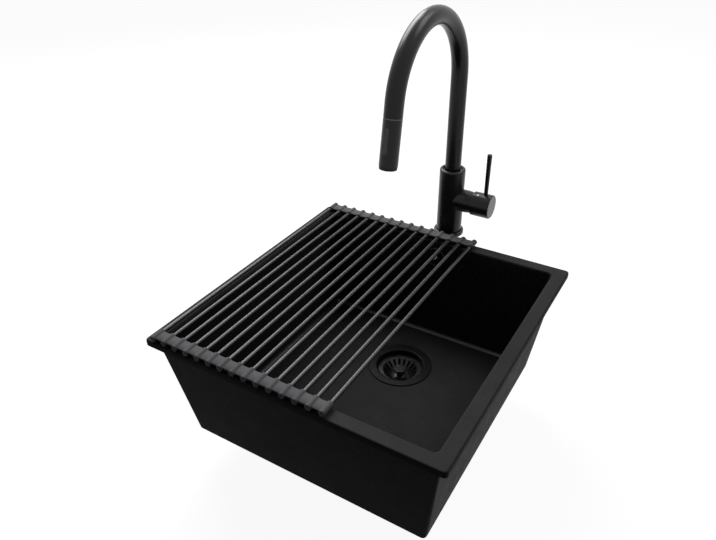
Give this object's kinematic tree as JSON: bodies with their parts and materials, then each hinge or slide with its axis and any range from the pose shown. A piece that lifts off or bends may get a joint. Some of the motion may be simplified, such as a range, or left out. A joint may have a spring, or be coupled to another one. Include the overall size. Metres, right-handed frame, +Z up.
{
  "type": "workstation kitchen sink",
  "caption": "Drop-in square sink bowl with basket strainer, overflow, roll-up rack and a gooseneck mixer tap with a pull-out spray head.",
  "frame": {"origin": "centre of the rim's underside, on the worktop", "axes": "+X right and +Y back towards the tap, seen from the front of the sink, +Z up"},
  "size_m": [0.467, 0.542, 0.6438],
  "materials": {
    "composite_black": "matt, finely grained",
    "coated_metal_black": "matt powder coat",
    "drain_metal": "satin dark coat",
    "bare_steel": "brushed",
    "brass": "machined",
    "black_rubber": "matt",
    "silicone_grey": "matt",
    "black_plastic": "moulded",
    "grey_plastic": "satin",
    "ceramic_white": "moulded",
    "mark_enamel": "enamel",
    "hose_braid": "braided"
  },
  "bodies": {
    "sink": {"sink_bowl": "composite_black", "drain_body": "drain_metal", "drain_washers": "black_rubber", "drain_locknut": "black_plastic", "overflow_cover": "drain_metal", "overflow_elbow": "black_plastic", "overflow_gasket": "black_rubber", "overflow_screw": "bare_steel", "tap_base_ring": "coated_metal_black", "tap_body": "coated_metal_black", "tap_shank": "brass", "tap_washers": "black_rubber", "tap_nut": "brass", "spout_bush": "grey_plastic", "cartridge": "ceramic_white", "cartridge_nut": "brass"},
    "spout_body": {"spout": "coated_metal_black", "spray_hose": "hose_braid"},
    "spray_head": {"spray_collar": "bare_steel", "spray_shell": "coated_metal_black", "spray_face": "black_rubber"},
    "button": {"spray_button": "grey_plastic"},
    "mixer": {"cartridge_rotor": "ceramic_white", "lever_pin": "bare_steel"},
    "lever": {"lever_cap": "coated_metal_black", "lever_stick": "coated_metal_black", "hot_cold_mark": "mark_enamel"},
    "strainer": {"strainer_basket": "drain_metal", "strainer_stopper": "black_rubber", "strainer_knob": "drain_metal"},
    "slat_01": {"rack_rod_01": "coated_metal_black", "rack_grip_01": "silicone_grey"},
    "slat_02": {"rack_rod_02": "coated_metal_black", "rack_grip_02": "silicone_grey"},
    "slat_03": {"rack_rod_03": "coated_metal_black", "rack_grip_03": "silicone_grey"},
    "slat_04": {"rack_rod_04": "coated_metal_black", "rack_grip_04": "silicone_grey"},
    "slat_05": {"rack_rod_05": "coated_metal_black", "rack_grip_05": "silicone_grey"},
    "slat_06": {"rack_rod_06": "coated_metal_black", "rack_grip_06": "silicone_grey"},
    "slat_07": {"rack_rod_07": "coated_metal_black", "rack_grip_07": "silicone_grey"},
    "slat_08": {"rack_rod_08": "coated_metal_black", "rack_grip_08": "silicone_grey"},
    "slat_09": {"rack_rod_09": "coated_metal_black", "rack_grip_09": "silicone_grey"},
    "slat_10": {"rack_rod_10": "coated_metal_black", "rack_grip_10": "silicone_grey"},
    "slat_11": {"rack_rod_11": "coated_metal_black", "rack_grip_11": "silicone_grey"},
    "slat_12": {"rack_rod_12": "coated_metal_black", "rack_grip_12": "silicone_grey"},
    "slat_13": {"rack_rod_13": "coated_metal_black", "rack_grip_13": "silicone_grey"},
    "slat_14": {"rack_rod_14": "coated_metal_black", "rack_grip_14": "silicone_grey"},
    "slat_15": {"rack_rod_15": "coated_metal_black", "rack_grip_15": "silicone_grey"}
  },
  "joints": [
    {"name": "spout_swivel", "type": "hinge", "parent": "sink", "child": "spout_body", "pos_m": [0.0015, 0.278, 0.2], "axis": [0, 0, 1], "range_deg": [-60, 60]},
    {"name": "spray_pull", "type": "slide", "parent": "spout_body", "child": "spray_head", "axis": [0, -0.1736, -0.9848], "range_m": [0, 0.15], "deforming": ["spray_hose"]},
    {"name": "spray_press", "type": "slide", "parent": "spray_head", "child": "button", "axis": [0, 0.9848, -0.1736], "range_m": [0, 0.0012], "stiffness_N_per_m": 300},
    {"name": "mixer_turn", "type": "hinge", "parent": "sink", "child": "mixer", "pos_m": [0.0015, 0.278, 0.0675], "axis": [1, 0, 0], "range_deg": [-45, 45]},
    {"name": "lever_tilt", "type": "hinge", "parent": "mixer", "child": "lever", "pos_m": [0.045, 0.278, 0.0675], "axis": [0, 1, 0], "range_deg": [0, 18]},
    {"name": "strainer_lift", "type": "slide", "parent": "sink", "child": "strainer", "axis": [0, 0, 1], "range_m": [0, 0.07]},
    {"name": "rack_slide", "type": "slide", "parent": "sink", "child": "slat_01", "axis": [1, 0, 0], "range_m": [0, 0.155]},
    {"name": "rack_roll_01", "type": "hinge", "parent": "slat_01", "child": "slat_02", "pos_m": [-0.20695, 0, 0.0182], "axis": [0, -1, 0], "range_deg": [0, 15]},
    {"name": "rack_roll_02", "type": "hinge", "parent": "slat_02", "child": "slat_03", "pos_m": [-0.18665, 0, 0.0182], "axis": [0, -1, 0], "range_deg": [0, 17.25]},
    {"name": "rack_roll_03", "type": "hinge", "parent": "slat_03", "child": "slat_04", "pos_m": [-0.16635, 0, 0.0182], "axis": [0, -1, 0], "range_deg": [0, 19.5]},
    {"name": "rack_roll_04", "type": "hinge", "parent": "slat_04", "child": "slat_05", "pos_m": [-0.14605, 0, 0.0182], "axis": [0, -1, 0], "range_deg": [0, 21.75]},
    {"name": "rack_roll_05", "type": "hinge", "parent": "slat_05", "child": "slat_06", "pos_m": [-0.12575, 0, 0.0182], "axis": [0, -1, 0], "range_deg": [0, 24]},
    {"name": "rack_roll_06", "type": "hinge", "parent": "slat_06", "child": "slat_07", "pos_m": [-0.10545, 0, 0.0182], "axis": [0, -1, 0], "range_deg": [0, 26.25]},
    {"name": "rack_roll_07", "type": "hinge", "parent": "slat_07", "child": "slat_08", "pos_m": [-0.08515, 0, 0.0182], "axis": [0, -1, 0], "range_deg": [0, 28.5]},
    {"name": "rack_roll_08", "type": "hinge", "parent": "slat_08", "child": "slat_09", "pos_m": [-0.06485, 0, 0.0182], "axis": [0, -1, 0], "range_deg": [0, 30.75]},
    {"name": "rack_roll_09", "type": "hinge", "parent": "slat_09", "child": "slat_10", "pos_m": [-0.04455, 0, 0.0182], "axis": [0, -1, 0], "range_deg": [0, 33]},
    {"name": "rack_roll_10", "type": "hinge", "parent": "slat_10", "child": "slat_11", "pos_m": [-0.02425, 0, 0.0182], "axis": [0, -1, 0], "range_deg": [0, 35.25]},
    {"name": "rack_roll_11", "type": "hinge", "parent": "slat_11", "child": "slat_12", "pos_m": [-0.00395, 0, 0.0182], "axis": [0, -1, 0], "range_deg": [0, 37.5]},
    {"name": "rack_roll_12", "type": "hinge", "parent": "slat_12", "child": "slat_13", "pos_m": [0.01635, 0, 0.0182], "axis": [0, -1, 0], "range_deg": [0, 39.75]},
    {"name": "rack_roll_13", "type": "hinge", "parent": "slat_13", "child": "slat_14", "pos_m": [0.03665, 0, 0.0182], "axis": [0, -1, 0], "range_deg": [0, 42]},
    {"name": "rack_roll_14", "type": "hinge", "parent": "slat_14", "child": "slat_15", "pos_m": [0.05695, 0, 0.0182], "axis": [0, -1, 0], "range_deg": [0, 44.25]}
  ],
  "couplings": [
    {"joint": "rack_roll_02", "follows": "rack_roll_01", "ratio": 1.15},
    {"joint": "rack_roll_03", "follows": "rack_roll_01", "ratio": 1.3},
    {"joint": "rack_roll_04", "follows": "rack_roll_01", "ratio": 1.45},
    {"joint": "rack_roll_05", "follows": "rack_roll_01", "ratio": 1.6},
    {"joint": "rack_roll_06", "follows": "rack_roll_01", "ratio": 1.75},
    {"joint": "rack_roll_07", "follows": "rack_roll_01", "ratio": 1.9},
    {"joint": "rack_roll_08", "follows": "rack_roll_01", "ratio": 2.05},
    {"joint": "rack_roll_09", "follows": "rack_roll_01", "ratio": 2.2},
    {"joint": "rack_roll_10", "follows": "rack_roll_01", "ratio": 2.35},
    {"joint": "rack_roll_11", "follows": "rack_roll_01", "ratio": 2.5},
    {"joint": "rack_roll_12", "follows": "rack_roll_01", "ratio": 2.65},
    {"joint": "rack_roll_13", "follows": "rack_roll_01", "ratio": 2.8},
    {"joint": "rack_roll_14", "follows": "rack_roll_01", "ratio": 2.95}
  ]
}
